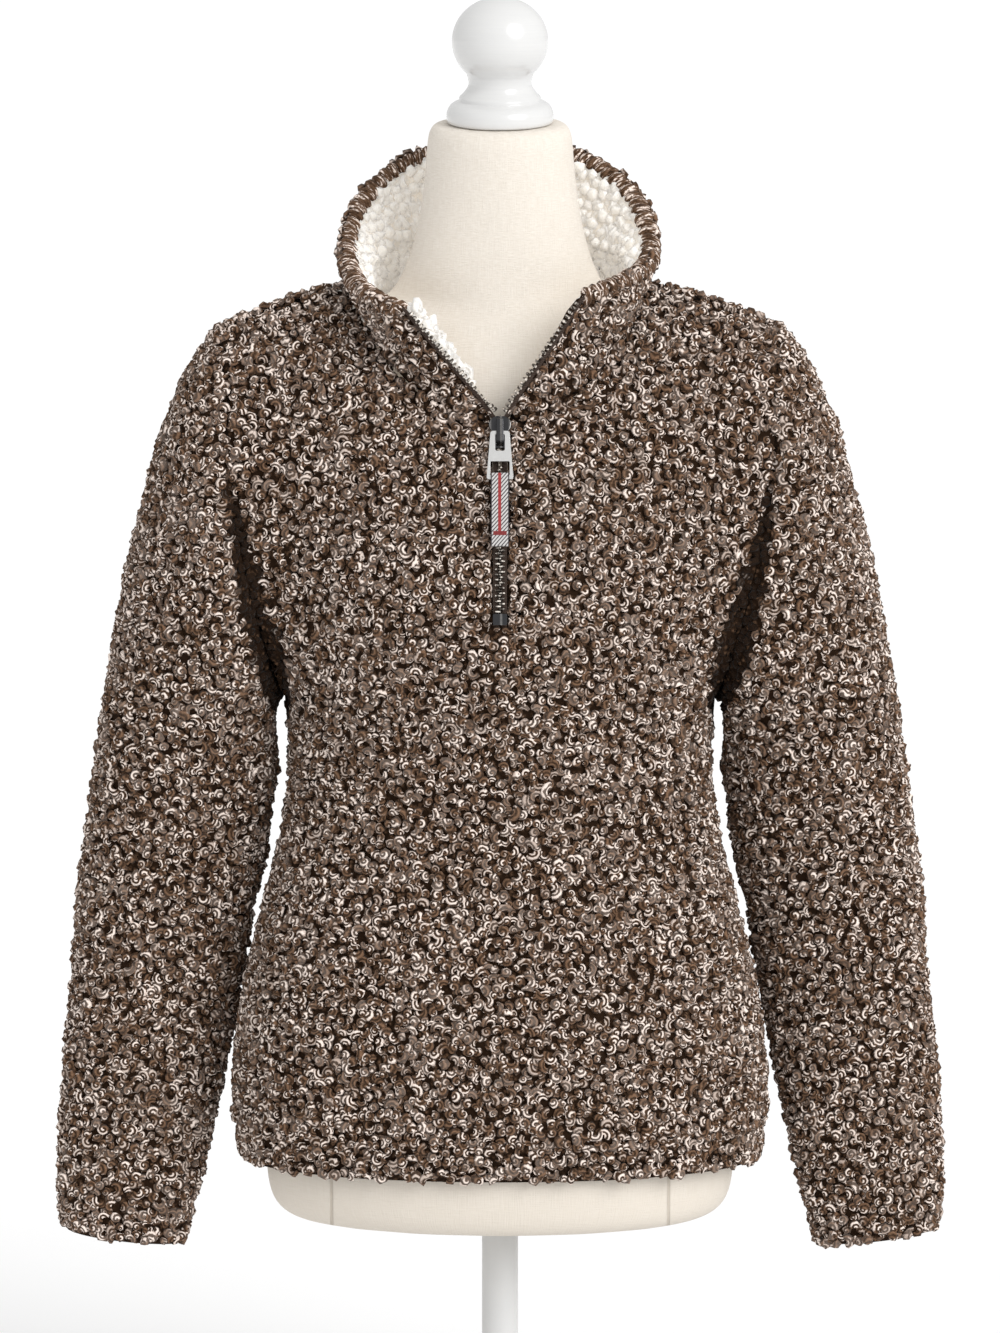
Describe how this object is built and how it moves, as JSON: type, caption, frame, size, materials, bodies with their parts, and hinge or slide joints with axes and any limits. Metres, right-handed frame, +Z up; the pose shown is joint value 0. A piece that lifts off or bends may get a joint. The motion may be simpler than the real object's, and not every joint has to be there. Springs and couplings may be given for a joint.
{
  "type": "sherpa fleece pullover on a dress form",
  "caption": "Brown chunky sherpa fleece pullover with a stand collar, cream collar lining and half-open quarter zip, worn by a limbless dress form on a pole and round base.",
  "frame": {"origin": "centre of the base's underside, on the floor under the pole", "axes": "+Z up, the pullover's front faces -Y, +X towards the wearer's left"},
  "size_m": [0.631, 0.3, 1.1075],
  "materials": {
    "fleece": "marled brown looped pile",
    "lining": "cream looped pile",
    "zip_tape": "woven tape",
    "zip_teeth": "antique dark metal",
    "slider_metal": "dark gunmetal",
    "tab_metal": "satin nickel",
    "webbing": "striped narrow webbing",
    "form_linen": "cream linen cover",
    "cap_lacquer": "white gloss lacquer on turned wood",
    "stand_paint": "white satin paint"
  },
  "bodies": {
    "pullover_on_form": {"front": "fleece", "back": "fleece", "sleeve_left": "fleece", "sleeve_right": "fleece", "collar": "fleece", "collar_lining": "lining", "zip_tape_left": "zip_tape", "zip_tape_right": "zip_tape", "zip_teeth_left": "zip_teeth", "zip_teeth_right": "zip_teeth", "zip_chain": "zip_teeth", "zip_stop": "slider_metal", "zip_slider": "slider_metal", "form_torso": "form_linen", "form_cap": "cap_lacquer", "stand_pole": "stand_paint", "stand_base": "stand_paint"},
    "zip_pull": {"zip_pull_tab": "tab_metal", "pull_webbing": "webbing"}
  },
  "joints": [
    {"name": "zip_pull_swing", "type": "hinge", "parent": "pullover_on_form", "child": "zip_pull", "pos_m": [0, -0.09049, 0.81139], "axis": [-1, 0, 0], "range_deg": [0, 150]}
  ]
}
